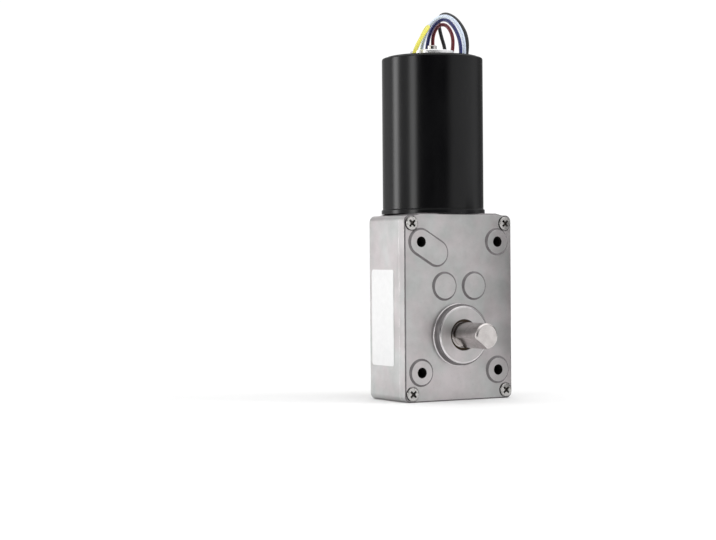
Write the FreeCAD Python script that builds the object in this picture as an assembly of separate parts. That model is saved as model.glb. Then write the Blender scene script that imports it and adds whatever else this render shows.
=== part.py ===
"""Worm gear motor: a flat die-cast gearbox with a D-shaft, driven by a brushless motor standing on its end.

Millimetres. +Z is up, along the motor. The origin is on the output shaft's axis, at the face of the boss
that it leaves, and the shaft points along -Y.
"""

import FreeCAD, Part
import math
import os
from FreeCAD import Vector

# Gearbox casting
box_width = 40.0
box_height = 58.0
cover_thickness = 3.3
housing_depth = 18.5
corner_radius = 2.0
cover_edge = 0.4
back_edge = 0.8
side_wall = 2.0
back_wall = 2.0
bottom_wall = 2.0
top_wall = 2.5
output_drop = 37.4
land_height = 0.6
land_inset = 3.3
land_slope = 2.4

# Mounting holes, tapped for M4, and the pads around them
mount_side_inset = 5.75
mount_bottom_inset = 9.15
mount_top_inset = 8.35
mount_hole_radius = 1.65
mount_hole_depth = 8.0
mount_pad_radius = 3.7
mount_boss_radius = 3.0
mount_boss_floor = 1.0
pad_height = 0.6
pad_skirt = 0.7
disc_radius = 3.85

# Cover screws
cover_screw_inset = 2.6
cover_screw_radius = 1.2
cover_screw_clearance = 0.15
cover_screw_length = 11.0
cover_screw_post_radius = 2.9
screw_head_radius = 2.1
screw_head_height = 1.4
screw_head_edge = 0.4
screw_recess_radius = 2.35
screw_recess_depth = 0.8
cross_length = 2.5
cross_width = 0.6
cross_depth = 0.8

# Output shaft, its boss and its bushes
shaft_radius = 4.0
shaft_length = 12.8
shaft_tip_edge = 0.5
shaft_flat_distance = 3.0
shaft_flat_angle = 231.0
shaft_groove_radius = 3.6
shoulder_radius = 5.0
rear_journal_radius = 3.0
boss_height = 2.65
boss_radius = 9.57
boss_rim_radius = 8.79
boss_rim_height = 0.78
boss_mouth_radius = 4.9
boss_lip = 0.8
front_bush_radius = 6.0
rear_bush_radius = 4.5
rear_bush_length = 3.4
rear_bush_boss_radius = 6.5
thrust_washer_radius = 6.2
thrust_washer_thickness = 0.5

# Fits
point_tolerance = 1e-6
running_clearance = 0.03
end_play = 0.3
washer_play = 0.1

# Gear train, from the worm down to the output shaft
worm_module = 0.5
worm_pitch_radius = 2.4
worm_turns_each_way = 3
worm_end = 0.9
worm_wheel_teeth = 24
worm_wheel_width = 4.4
worm_backlash = 0.16
worm_flank_angle = 20.0
worm_seam_angle = 180.0
worm_thread_root = 0.1
fine_module = 0.5
coarse_module = 0.6
pinion_teeth = 12
second_gear_teeth = 31
third_gear_teeth = 32
output_gear_teeth = 42
pressure_angle = 25.0
tooth_backlash = 0.10
fine_gear_width = 1.8
coarse_gear_width = 3.0
gear_layer_gap = 0.3
wheel_hub_radius = 2.2
gear_hub_radius = 2.1
axle_radius = 1.5
axle_boss_radius = 2.4
axle_cover_floor = 1.2
axle_back_floor = 0.8

# Motor
motor_axis_depth = 14.7
can_radius = 16.1
can_wall = 0.8
can_length = 48.3
can_edge = 0.4
front_rim_radius = 16.5
front_rim_height = 1.4
front_spigot_height = 3.0
pilot_radius = 5.0
pilot_clearance = 0.05
pilot_length = 2.4
bearing_radius = 4.0
bearing_height = 3.0
bearing_floor = 0.6
rear_cap_thickness = 2.4
rear_cap_rise = 0.4
rear_cap_radius = 14.6
holder_radius = 7.0
holder_height = 2.0
holder_edge = 0.3
holder_stem_radius = 6.0
holder_stem_length = 3.7
window_inner_radius = 9.4
window_outer_radius = 13.0
window_half_angle = 38.0
window_angles = (-6.0, 174.0)
motor_shaft_radius = 1.5
motor_shaft_rise = 1.8
motor_shaft_hole_radius = 1.9
worm_seat_radius = 1.0
worm_seat_overrun = 0.4
rotor_radius = 9.1
rotor_core_radius = 7.2
rotor_height = 25.0
air_gap = 0.4
stator_height = 24.0
stator_yoke = 2.1
slot_count = 6
slot_tooth_width = 3.2
slot_shoe_width = 6.4
slot_shoe_depth = 1.0
slot_seat = 0.5
coil_thickness = 1.3
coil_slot_clearance = 0.05
coil_gap = 0.3
board_radius = 14.8
board_thickness = 1.2
board_hole_radius = 2.5
board_below_cap = 4.9
board_post_radius = 1.8
board_post_circle = 11.6
board_post_angles = (84.0, 264.0)
motor_screw_offset = 10.0
motor_screw_radius = 1.25
motor_screw_clearance = 0.1
motor_screw_reach = 3.0

# Blank label on the side of the housing
label_width = 14.5
label_height = 31.0
label_thickness = 0.15
label_depth_start = 2.0
label_bottom = 11.0

# Lead wires
wire_radius = 0.6
wire_sides = 6
wire_bend_share = 0.45
wire_rest_gap = 0.1
tip_radius = 0.45
tip_length = 4.0

# Each wire stands on the driver board, rises through a window of the rear cap, passes over the motor's end,
# hangs down behind it and lies on the surface that the gearbox stands on.
# Over the cap a point is (x, y) from the motor's axis and its height over the cap.
# Beside the motor it is (angle, distance from the can's side, height), the height from the cap's top face
# beside the can and from the floor beside the gearbox. On the floor it is (x, y) from the motor's axis.
wire_points = {
    "wire_black": {
        "foot": (11.8, -1.6),
        "over_cap": [
            (11.8, -1.6, -1.6),
            (13.5, -0.75, 7),
            (12.3, 3.25, 13.2),
            (10.7, 8.05, 16),
            (10.4, 12.45, 15),
            (12.6, 14.65, 10.3),
            (15.3, 14.95, 3.8),
        ],
        "beside_can": [
            (46.5, 5.3, -8.9),
            (47.8, 6.1, -26.1),
        ],
        "beside_box": [
            (46.8, 5.7, 55.6),
            (46.2, 5.6, 29.6),
            (45.8, 6.3, 12.6),
            (45.6, 9.5, 3.8),
        ],
        "on_floor": [
            (22.6, 22.4),
            (27.2, 27.6),
            (30.0, 33.6),
        ],
    },
    "wire_white": {
        "foot": (9.5, -3.9),
        "over_cap": [
            (9.5, -3.9, -2.7),
            (9.9, -3.95, 5.8),
            (9, -0.85, 11.8),
            (7.6, 3.65, 14.6),
            (6.1, 9.05, 13.4),
            (6, 13.85, 8.8),
            (6.7, 17.45, 3.3),
        ],
        "beside_can": [
            (72.4, 5.0, -8.1),
            (72.4, 6.1, -26.1),
        ],
        "beside_box": [
            (71.4, 5.6, 55.6),
            (70.7, 5.0, 29.6),
            (69.9, 5.5, 12.6),
            (68.9, 8.6, 3.8),
        ],
        "on_floor": [
            (12.3, 28.8),
            (15.4, 36.2),
            (19.4, 42.9),
        ],
    },
    "wire_blue": {
        "foot": (10.3, -0.8),
        "over_cap": [
            (10.3, -0.8, -2.7),
            (10.8, -0.55, 5.2),
            (9.9, 2.05, 11),
            (8.7, 6.05, 14),
            (7.8, 10.85, 12.4),
            (8, 14.75, 8.4),
            (8.8, 17.15, 3.1),
        ],
        "beside_can": [
            (65.5, 4.8, -8.1),
            (65.6, 5.5, -26.1),
        ],
        "beside_box": [
            (64.5, 5.0, 55.6),
            (63.5, 4.7, 29.6),
            (62.8, 5.3, 12.6),
            (62.0, 8.4, 3.8),
        ],
        "on_floor": [
            (15.1, 27.0),
            (19.2, 33.8),
            (23.0, 40.6),
        ],
    },
    "wire_red": {
        "foot": (9.9, 5.0),
        "over_cap": [
            (9.9, 5, -2.7),
            (11.3, 4.75, 4.9),
            (11.1, 5.05, 8.9),
            (10.4, 7.55, 12.2),
            (9.7, 11.55, 12.3),
            (9.5, 14.65, 8.8),
            (10.9, 16.05, 3.1),
        ],
        "beside_can": [
            (58.0, 4.8, -8.1),
            (57.8, 5.5, -26.1),
        ],
        "beside_box": [
            (56.7, 5.0, 55.6),
            (55.9, 4.7, 29.6),
            (55.6, 5.3, 12.6),
            (55.2, 8.6, 3.8),
        ],
        "on_floor": [
            (18.5, 25.0),
            (23.2, 31.0),
            (26.4, 37.8),
        ],
    },
    "wire_yellow": {
        "foot": (-10.3, -4.4),
        "over_cap": [
            (-10.3, -4.4, -2.7),
            (-9, -3.95, 1.6),
            (-5.4, -2.05, 5.9),
            (-0.1, 1.25, 10.4),
            (3, 8.25, 10.6),
            (4.2, 14.05, 7.1),
            (4.7, 18.55, 3),
        ],
        "beside_can": [
            (79.2, 5.3, -8.1),
            (79.7, 6.2, -26.1),
        ],
        "beside_box": [
            (78.6, 5.7, 55.6),
            (77.0, 5.3, 29.6),
            (76.2, 5.8, 12.6),
            (75.1, 8.8, 3.8),
        ],
        "on_floor": [
            (9.4, 30.4),
            (11.6, 38.0),
            (15.2, 44.2),
        ],
    },
}

# Levels along Y, from the boss's face back through the gearbox
cover_front_y = boss_height
seam_y = cover_front_y + cover_thickness
back_y = seam_y + housing_depth
cavity_back_y = back_y - back_wall
pad_front_y = cover_front_y - pad_height
motor_y = cover_front_y + motor_axis_depth

# Levels along Z, from the bottom up
corner_top_z = output_drop
bottom_z = corner_top_z - box_height
top_z = corner_top_z + land_height
cavity_bottom_z = bottom_z + bottom_wall
cavity_top_z = corner_top_z - top_wall
mount_x = box_width / 2 - mount_side_inset
mount_low_z = bottom_z + mount_bottom_inset
mount_high_z = corner_top_z - mount_top_inset
can_bottom_z = top_z + front_rim_height
can_top_z = can_bottom_z + can_length
rear_cap_bottom_z = can_top_z - rear_cap_thickness
rear_cap_top_z = can_top_z + rear_cap_rise
holder_top_z = rear_cap_top_z + holder_height
holder_bottom_z = rear_cap_top_z - holder_stem_length
board_top_z = rear_cap_bottom_z - board_below_cap
board_bottom_z = board_top_z - board_thickness
can_bore_radius = can_radius - can_wall
spigot_top_z = can_bottom_z + front_spigot_height
front_bearing_z = top_z + bearing_floor
rotor_bottom_z = (spigot_top_z + board_bottom_z - rotor_height) / 2
stator_bottom_z = rotor_bottom_z + (rotor_height - stator_height) / 2

# Gear layers along Y
coarse_front_y = seam_y + washer_play + thrust_washer_thickness + washer_play
coarse_back_y = coarse_front_y + coarse_gear_width
third_front_y = coarse_back_y + gear_layer_gap
third_back_y = third_front_y + fine_gear_width
second_front_y = third_back_y + gear_layer_gap
second_back_y = second_front_y + fine_gear_width
wheel_front_y = motor_y - worm_wheel_width / 2
wheel_back_y = motor_y + worm_wheel_width / 2

# Places of the axles, each a centre distance from the next
second_centre_distance = fine_module * (pinion_teeth + third_gear_teeth) / 2
output_centre_distance = coarse_module * (pinion_teeth + output_gear_teeth) / 2
first_centre_distance = fine_module * (pinion_teeth + second_gear_teeth) / 2
worm_wheel_pitch_radius = worm_module * worm_wheel_teeth / 2
worm_centre_distance = worm_pitch_radius + worm_wheel_pitch_radius
third_axle_x = second_centre_distance / 2
third_axle_z = math.sqrt(output_centre_distance**2 - third_axle_x**2)
second_axle_x = -third_axle_x
second_axle_z = third_axle_z
wheel_axle_x = -worm_centre_distance
wheel_axle_z = second_axle_z + math.sqrt(
    first_centre_distance**2 - (wheel_axle_x - second_axle_x) ** 2
)
worm_pitch = math.pi * worm_module
worm_bottom_z = wheel_axle_z - worm_turns_each_way * worm_pitch - worm_end
worm_top_z = wheel_axle_z + worm_turns_each_way * worm_pitch + worm_end

axle_places = {
    "wheel_axle": (wheel_axle_x, wheel_axle_z),
    "second_axle": (second_axle_x, second_axle_z),
    "third_axle": (third_axle_x, third_axle_z),
}
axle_fronts = {
    "wheel_axle": second_front_y,
    "second_axle": third_front_y,
    "third_axle": coarse_front_y,
}
axle_backs = {
    "wheel_axle": wheel_back_y,
    "second_axle": second_back_y,
    "third_axle": third_back_y,
}


def rod_y(x, z, radius, start_y, end_y):
    """A round bar along Y."""
    return Part.makeCylinder(radius, end_y - start_y, Vector(x, start_y, z), Vector(0, 1, 0))


def rod_z(x, y, radius, start_z, end_z):
    """A round bar along Z."""
    return Part.makeCylinder(radius, end_z - start_z, Vector(x, y, start_z), Vector(0, 0, 1))


def motor_rod(radius, start_z, end_z):
    """A round bar on the motor's axis."""
    return rod_z(0, motor_y, radius, start_z, end_z)


def motor_ring(outer_radius, inner_radius, start_z, end_z):
    """A round tube on the motor's axis."""
    return motor_rod(outer_radius, start_z, end_z).cut(motor_rod(inner_radius, start_z, end_z))


def block(x0, x1, y0, y1, z0, z1):
    """A box between two corners."""
    return Part.makeBox(x1 - x0, y1 - y0, z1 - z0, Vector(x0, y0, z0))


def polygon(points, y):
    """A closed wire through (x, z) points, at one depth."""
    corners = [Vector(x, y, z) for x, z in points]
    return Part.makePolygon(corners + corners[:1])


def prism_y(points, start_y, end_y):
    """A polygon of (x, z) points drawn out along Y."""
    face = Part.Face(polygon(points, start_y))
    return face.extrude(Vector(0, end_y - start_y, 0))


def turned_z(profile):
    """A (radius, z) outline turned about the motor's axis."""
    corners = [Vector(radius, motor_y, z) for radius, z in profile]
    face = Part.Face(Part.makePolygon(corners + corners[:1]))
    return face.revolve(Vector(0, motor_y, 0), Vector(0, 0, 1), 360)


def turned_y(profile):
    """A (radius, y) outline turned about the output shaft's axis."""
    corners = [Vector(radius, y, 0) for radius, y in profile]
    face = Part.Face(Part.makePolygon(corners + corners[:1]))
    return face.revolve(Vector(0, 0, 0), Vector(0, 1, 0), 360)


def edges_where(shape, test):
    """The edges whose two ends both pass a test."""
    return [e for e in shape.Edges if all(test(v.Point) for v in e.Vertexes)]


def mount_places():
    """The centres of the four mounting holes."""
    return [(x, z) for x in (-mount_x, mount_x) for z in (mount_low_z, mount_high_z)]


def cover_screw_places():
    """The centres of the four cover screws, one in each corner."""
    x = box_width / 2 - cover_screw_inset
    return [
        (side * x, z)
        for side in (-1, 1)
        for z in (bottom_z + cover_screw_inset, corner_top_z - cover_screw_inset)
    ]


def casting_block(start_y, end_y):
    """The gearbox's outline, with round corners and the raised land that carries the motor."""
    half = box_width / 2
    foot = half - land_inset
    land = foot - land_slope
    outline = [
        (-half, bottom_z),
        (half, bottom_z),
        (half, corner_top_z),
        (foot, corner_top_z),
        (land, top_z),
        (-land, top_z),
        (-foot, corner_top_z),
        (-half, corner_top_z),
    ]
    solid = prism_y(outline, start_y, end_y)
    corners = [
        e
        for e in solid.Edges
        if all(abs(abs(v.Point.x) - half) < point_tolerance for v in e.Vertexes)
        and abs(e.Vertexes[0].Point.y - e.Vertexes[-1].Point.y) > point_tolerance
    ]
    return solid.makeFillet(corner_radius, corners)


def gearbox_housing():
    """The back shell: walls, screw posts, axle bosses and the seat of the rear bush."""
    shell = casting_block(seam_y, back_y)
    shell = shell.makeChamfer(back_edge, edges_where(shell, lambda p: abs(p.y - back_y) < point_tolerance))
    cavity = block(
        -box_width / 2 + side_wall,
        box_width / 2 - side_wall,
        seam_y,
        cavity_back_y,
        cavity_bottom_z,
        cavity_top_z,
    )
    inner = [
        rod_y(x, z, cover_screw_post_radius, seam_y, cavity_back_y) for x, z in cover_screw_places()
    ]
    for name, (x, z) in axle_places.items():
        inner.append(rod_y(x, z, axle_boss_radius, axle_backs[name] + end_play, cavity_back_y))
    rear_bush_back_y = rear_bush_front_y() + rear_bush_length
    inner.append(rod_y(0, 0, rear_bush_boss_radius, rear_bush_front_y(), cavity_back_y))
    shell = shell.cut(cavity.cut(inner))
    holes = [rod_y(0, 0, rear_bush_radius, rear_bush_front_y(), rear_bush_back_y)]
    holes += [
        rod_y(x, z, axle_radius, seam_y, back_y - axle_back_floor) for x, z in axle_places.values()
    ]
    screw_end_y = cover_screw_seat_y() + cover_screw_length
    holes += [
        rod_y(x, z, cover_screw_radius, seam_y, screw_end_y) for x, z in cover_screw_places()
    ]
    holes.append(motor_rod(pilot_radius + pilot_clearance, cavity_top_z, top_z))
    holes += [
        rod_z(x, motor_y, motor_screw_radius + motor_screw_clearance, cavity_top_z, top_z)
        for x in (-motor_screw_offset, motor_screw_offset)
    ]
    return shell.cut(holes)


def rear_bush_front_y():
    """The rear bush ends flush inside its boss and reaches into the back wall."""
    return back_y - axle_back_floor - rear_bush_length


def cover_screw_seat_y():
    """The floor of the recess under a cover screw's head."""
    return cover_front_y + screw_recess_depth


def pad_outline(centres, radius, y):
    """A round outline about one centre, or an obround about two."""
    if len(centres) == 1:
        x, z = centres[0]
        return Part.Wire(Part.Circle(Vector(x, y, z), Vector(0, 1, 0), radius).toShape())
    (x0, z0), (x1, z1) = centres
    along = Vector(x1 - x0, 0, z1 - z0).normalize()
    across = Vector(-along.z, 0, along.x)
    first = Vector(x0, y, z0)
    second = Vector(x1, y, z1)
    a0 = first + across * radius
    a1 = first - along * radius
    a2 = first - across * radius
    b0 = second - across * radius
    b1 = second + along * radius
    b2 = second + across * radius
    return Part.Wire(
        [
            Part.Arc(a0, a1, a2).toShape(),
            Part.LineSegment(a2, b0).toShape(),
            Part.Arc(b0, b1, b2).toShape(),
            Part.LineSegment(b2, a0).toShape(),
        ]
    )


def raised_pad(centres, radius):
    """A cast pad that stands proud of the cover's face on a sloping skirt."""
    foot = pad_outline(centres, radius + pad_skirt, cover_front_y)
    face = pad_outline(centres, radius, pad_front_y)
    return Part.makeLoft([foot, face], True, True)


def front_cover():
    """The front plate: pads outside, bosses for the mounting holes and axles inside."""
    plate = casting_block(cover_front_y, seam_y)
    plate = plate.makeChamfer(
        cover_edge, edges_where(plate, lambda p: abs(p.y - cover_front_y) < point_tolerance)
    )
    upper_left = (-mount_x, mount_high_z)
    pads = [
        raised_pad([place], mount_pad_radius) for place in mount_places() if place != upper_left
    ]
    pads.append(raised_pad([upper_left, axle_places["wheel_axle"]], mount_pad_radius))
    pads.append(raised_pad([axle_places["second_axle"]], disc_radius))
    pads.append(raised_pad([axle_places["third_axle"]], disc_radius))
    boss = turned_y(
        [
            (0, 0),
            (boss_rim_radius, 0),
            (boss_radius, boss_rim_height),
            (boss_radius, cover_front_y),
            (0, cover_front_y),
        ]
    )
    mount_end_y = pad_front_y + mount_hole_depth
    inner = [
        rod_y(x, z, mount_boss_radius, seam_y, mount_end_y + mount_boss_floor)
        for x, z in mount_places()
    ]
    for name, (x, z) in axle_places.items():
        inner.append(rod_y(x, z, axle_boss_radius, seam_y, axle_fronts[name] - end_play))
    plate = plate.fuse(pads + [boss] + inner)
    holes = [
        rod_y(0, 0, boss_mouth_radius, 0, boss_lip),
        rod_y(0, 0, front_bush_radius, boss_lip, seam_y),
    ]
    holes += [rod_y(x, z, mount_hole_radius, pad_front_y, mount_end_y) for x, z in mount_places()]
    for name, (x, z) in axle_places.items():
        end_y = axle_fronts[name] - end_play
        holes.append(rod_y(x, z, axle_radius, cover_front_y + axle_cover_floor, end_y))
    clear_radius = cover_screw_radius + cover_screw_clearance
    for x, z in cover_screw_places():
        holes.append(rod_y(x, z, screw_recess_radius, pad_front_y, cover_screw_seat_y()))
        holes.append(rod_y(x, z, clear_radius, cover_screw_seat_y(), seam_y))
    return plate.cut(holes).removeSplitter()


def cross_recess(x, z, front_y):
    """The cross that a screwdriver fits, as two crossed bars."""
    half = cross_length / 2
    thin = cross_width / 2
    end_y = front_y + cross_depth
    bars = [
        block(x - half, x + half, front_y, end_y, z - thin, z + thin),
        block(x - thin, x + thin, front_y, end_y, z - half, z + half),
    ]
    return bars[0].fuse(bars[1]).rotate(Vector(x, 0, z), Vector(0, 1, 0), 45)


def cover_screws():
    """Four pan-head machine screws that hold the cover on."""
    screws = []
    seat_y = cover_screw_seat_y()
    front_y = seat_y - screw_head_height
    for x, z in cover_screw_places():
        head = rod_y(x, z, screw_head_radius, front_y, seat_y)
        rim = edges_where(head, lambda p: abs(p.y - front_y) < point_tolerance)
        head = head.makeChamfer(screw_head_edge, rim)
        shank = rod_y(x, z, cover_screw_radius, seat_y, seat_y + cover_screw_length)
        screws.append(head.fuse(shank).cut(cross_recess(x, z, front_y)))
    return Part.makeCompound(screws)


def output_shaft():
    """The D-shaft: exposed end, dust groove, front journal and gear seat, shoulder and rear journal."""
    shoulder_end_y = rear_bush_front_y() - end_play
    end_y = back_y - axle_back_floor - end_play
    shaft = turned_y(
        [
            (0, -shaft_length),
            (shaft_radius - shaft_tip_edge, -shaft_length),
            (shaft_radius, -shaft_length + shaft_tip_edge),
            (shaft_radius, 0),
            (shaft_groove_radius, 0),
            (shaft_groove_radius, boss_lip),
            (shaft_radius, boss_lip),
            (shaft_radius, coarse_back_y),
            (shoulder_radius, coarse_back_y),
            (shoulder_radius, shoulder_end_y),
            (rear_journal_radius, shoulder_end_y),
            (rear_journal_radius, end_y),
            (0, end_y),
        ]
    )
    flat = block(
        shaft_flat_distance,
        2 * shaft_radius,
        -shaft_length,
        0,
        -shaft_radius,
        shaft_radius,
    )
    return shaft.cut(flat.rotate(Vector(0, 0, 0), Vector(0, 1, 0), -shaft_flat_angle))


def bush_y(outer_radius, inner_radius, start_y, end_y):
    """A plain bush on the output shaft's axis."""
    return rod_y(0, 0, outer_radius, start_y, end_y).cut(rod_y(0, 0, inner_radius, start_y, end_y))


def involute(angle):
    """The involute function, tan(a) - a."""
    return math.tan(angle) - angle


def gear_points(module, teeth, centre, tooth_angle, backlash, curved):
    """The outline of a spur gear: land, flank and tip of each tooth, as (x, z) points.

    A flank is one chord from root to tip, or two where curved is true. Chords stay inside the involute.
    """
    pitch_radius = module * teeth / 2
    root_radius = pitch_radius - 1.25 * module
    tip_radius_here = pitch_radius + module
    slope = math.radians(pressure_angle)
    base_radius = pitch_radius * math.cos(slope)
    half_pitch = (math.pi * module / 2 - backlash) / (2 * pitch_radius)

    def half_angle(radius):
        if radius <= base_radius:
            return half_pitch + involute(slope)
        return half_pitch + involute(slope) - involute(math.acos(base_radius / radius))

    radii = [root_radius, tip_radius_here]
    if curved:
        radii.insert(1, pitch_radius)
    points = []
    for number in range(teeth):
        middle = tooth_angle + 2 * math.pi * number / teeth
        rising = [(radius, middle - half_angle(radius)) for radius in radii]
        falling = [(radius, middle + half_angle(radius)) for radius in reversed(radii)]
        points += [
            (centre[0] + radius * math.cos(angle), centre[1] + radius * math.sin(angle))
            for radius, angle in rising + falling
        ]
    return points


def direction(start, end):
    """The angle from +X towards +Z of the line between two centres."""
    return math.atan2(end[1] - start[1], end[0] - start[0])


def spur_gear(module, teeth, centre, tooth_angle, start_y, end_y, bore_radius, curved=False):
    """A spur gear with a round bore."""
    points = gear_points(module, teeth, centre, tooth_angle, tooth_backlash, curved)
    blank = prism_y(points, start_y, end_y)
    return blank.cut(rod_y(centre[0], centre[1], bore_radius, start_y, end_y))


def stepped_pinion(module, centre, tooth_angle, start_y, teeth_end_y, hub_radius, end_y):
    """A small steel gear with the hub that the next gear is pressed on."""
    bore_radius = axle_radius + running_clearance
    toothed = spur_gear(
        module, pinion_teeth, centre, tooth_angle, start_y, teeth_end_y, bore_radius, curved=True
    )
    hub = rod_y(centre[0], centre[1], hub_radius, teeth_end_y, end_y)
    return toothed.fuse(hub.cut(rod_y(centre[0], centre[1], bore_radius, teeth_end_y, end_y)))


def worm():
    """A single-start right-hand worm: a trapezoid thread carried along a helix on a bored core."""
    core_radius = worm_pitch_radius - 1.25 * worm_module
    tip = worm_pitch_radius + worm_module
    root = core_radius - worm_thread_root
    slope = math.tan(math.radians(worm_flank_angle))
    half_at_pitch = (worm_pitch / 2 - worm_backlash) / 2
    half_at_root = half_at_pitch + (worm_pitch_radius - root) * slope
    half_at_tip = half_at_pitch - (tip - worm_pitch_radius) * slope
    length = 2 * worm_turns_each_way * worm_pitch
    profile = Part.makePolygon(
        [
            Vector(root, 0, -half_at_root),
            Vector(tip, 0, -half_at_tip),
            Vector(tip, 0, half_at_tip),
            Vector(root, 0, half_at_root),
            Vector(root, 0, -half_at_root),
        ]
    )
    helix = Part.makeHelix(worm_pitch, length, worm_pitch_radius)
    thread = Part.Wire(helix.Edges).makePipeShell([profile], True, True)
    thread.translate(Vector(0, motor_y, wheel_axle_z - length / 2))
    core = motor_rod(core_radius, worm_bottom_z, worm_top_z)
    core.rotate(Vector(0, motor_y, 0), Vector(0, 0, 1), worm_seam_angle)
    return core.fuse(thread).cut(motor_rod(worm_seat_radius, worm_bottom_z, worm_top_z))


def worm_wheel():
    """The wheel that the worm turns, with teeth slanted at the worm's lead angle."""
    centre = axle_places["wheel_axle"]
    lead_angle = math.atan(worm_pitch / (2 * math.pi * worm_pitch_radius))
    twist = worm_wheel_width * math.tan(lead_angle) / worm_wheel_pitch_radius
    sections = [
        polygon(
            gear_points(worm_module, worm_wheel_teeth, centre, angle, worm_backlash, False), y
        )
        for angle, y in ((twist / 2, wheel_front_y), (-twist / 2, wheel_back_y))
    ]
    blank = Part.makeLoft(sections, True, True)
    return blank.cut(rod_y(centre[0], centre[1], wheel_hub_radius, wheel_front_y, wheel_back_y))


def gear_train():
    """Every gear and pinion between the worm and the output shaft, in mesh at rest."""
    wheel_place = axle_places["wheel_axle"]
    second_place = axle_places["second_axle"]
    third_place = axle_places["third_axle"]
    output_place = (0.0, 0.0)
    to_second = direction(wheel_place, second_place)
    to_third = direction(second_place, third_place)
    to_output = direction(third_place, output_place)

    def facing(line, teeth):
        """The first tooth's angle that puts a gap opposite the tooth that comes along the line."""
        return line + math.pi + math.pi / teeth

    return {
        "worm": worm(),
        "worm_wheel": worm_wheel(),
        "wheel_pinion": stepped_pinion(
            fine_module,
            wheel_place,
            to_second,
            second_front_y,
            wheel_front_y,
            wheel_hub_radius,
            wheel_back_y,
        ),
        "second_gear": spur_gear(
            fine_module,
            second_gear_teeth,
            second_place,
            facing(to_second, second_gear_teeth),
            second_front_y,
            second_back_y,
            gear_hub_radius,
        ),
        "second_pinion": stepped_pinion(
            fine_module,
            second_place,
            to_third,
            third_front_y,
            second_front_y,
            gear_hub_radius,
            second_back_y,
        ),
        "third_gear": spur_gear(
            fine_module,
            third_gear_teeth,
            third_place,
            facing(to_third, third_gear_teeth),
            third_front_y,
            third_back_y,
            gear_hub_radius,
        ),
        "third_pinion": stepped_pinion(
            coarse_module,
            third_place,
            to_output,
            coarse_front_y,
            third_front_y,
            gear_hub_radius,
            third_back_y,
        ),
        "output_gear": spur_gear(
            coarse_module,
            output_gear_teeth,
            output_place,
            facing(to_output, output_gear_teeth),
            coarse_front_y,
            coarse_back_y,
            shaft_radius,
        ),
    }


def axles():
    """Three plain pins, held by the cover in front and the housing behind."""
    start_y = cover_front_y + axle_cover_floor
    end_y = back_y - axle_back_floor
    return {
        name: rod_y(x, z, axle_radius, start_y, end_y) for name, (x, z) in axle_places.items()
    }


def motor_can():
    """The drawn steel tube around the motor."""
    can = motor_rod(can_radius, can_bottom_z, can_top_z)
    can = can.makeChamfer(can_edge, edges_where(can, lambda p: abs(p.z - can_top_z) < point_tolerance))
    return can.cut(motor_rod(can_bore_radius, can_bottom_z, can_top_z))


def motor_screw_places():
    """The X places of the two screws that hold the motor on the gearbox."""
    return (-motor_screw_offset, motor_screw_offset)


def motor_front_cap():
    """The cap at the can's foot: pilot, rim, spigot and the pocket of the front bearing."""
    cap = turned_z(
        [
            (motor_shaft_hole_radius, top_z - pilot_length),
            (pilot_radius, top_z - pilot_length),
            (pilot_radius, top_z),
            (front_rim_radius, top_z),
            (front_rim_radius, can_bottom_z),
            (can_bore_radius, can_bottom_z),
            (can_bore_radius, spigot_top_z),
            (bearing_radius, spigot_top_z),
            (bearing_radius, front_bearing_z),
            (motor_shaft_hole_radius, front_bearing_z),
        ]
    )
    return cap.cut(
        [
            rod_z(x, motor_y, motor_screw_radius, top_z, top_z + motor_screw_reach)
            for x in motor_screw_places()
        ]
    )


def motor_screws():
    """Two screws that pass up through the housing's top wall into the motor's front cap."""
    screws = []
    head_bottom_z = cavity_top_z - screw_head_height
    for x in motor_screw_places():
        head = rod_z(x, motor_y, screw_head_radius, head_bottom_z, cavity_top_z)
        shank = rod_z(x, motor_y, motor_screw_radius, cavity_top_z, top_z + motor_screw_reach)
        screws.append(head.fuse(shank))
    return Part.makeCompound(screws)


def cap_window(middle_angle):
    """An arc-shaped opening in the rear cap that the wires come out of."""
    ring = motor_ring(
        window_outer_radius, window_inner_radius, rear_cap_bottom_z, rear_cap_top_z
    )
    reach = 2 * window_outer_radius
    corners = [(0.0, 0.0)]
    for share in (-1, -0.5, 0, 0.5, 1):
        angle = math.radians(middle_angle + share * window_half_angle)
        corners.append((reach * math.cos(angle), reach * math.sin(angle)))
    points = [Vector(x, motor_y + y, rear_cap_bottom_z) for x, y in corners]
    wedge = Part.Face(Part.makePolygon(points + points[:1]))
    return ring.common(wedge.extrude(Vector(0, 0, rear_cap_top_z - rear_cap_bottom_z)))


def motor_rear_cap():
    """The cap in the can's far end, with two windows and two posts that carry the driver board."""
    cap = turned_z(
        [
            (holder_stem_radius, rear_cap_bottom_z),
            (can_bore_radius, rear_cap_bottom_z),
            (can_bore_radius, can_top_z),
            (rear_cap_radius, can_top_z),
            (rear_cap_radius, rear_cap_top_z),
            (holder_stem_radius, rear_cap_top_z),
        ]
    )
    cap = cap.cut([cap_window(angle) for angle in window_angles])
    posts = []
    for angle in board_post_angles:
        x = board_post_circle * math.cos(math.radians(angle))
        y = motor_y + board_post_circle * math.sin(math.radians(angle))
        posts.append(rod_z(x, y, board_post_radius, board_top_z, rear_cap_bottom_z))
    return cap.fuse(posts)


def rear_bearing_holder():
    """The bright turned seat of the rear bearing, pressed into the rear cap."""
    pocket_top_z = holder_bottom_z + bearing_height
    return turned_z(
        [
            (bearing_radius, holder_bottom_z),
            (holder_stem_radius, holder_bottom_z),
            (holder_stem_radius, rear_cap_top_z),
            (holder_radius, rear_cap_top_z),
            (holder_radius, holder_top_z - holder_edge),
            (holder_radius - holder_edge, holder_top_z),
            (motor_shaft_hole_radius, holder_top_z),
            (motor_shaft_hole_radius, pocket_top_z),
            (bearing_radius, pocket_top_z),
        ]
    )


def motor_bearing(start_z):
    """A small shielded ball bearing, as one closed ring."""
    bore_radius = motor_shaft_radius + running_clearance
    return motor_ring(bearing_radius, bore_radius, start_z, start_z + bearing_height)


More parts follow.
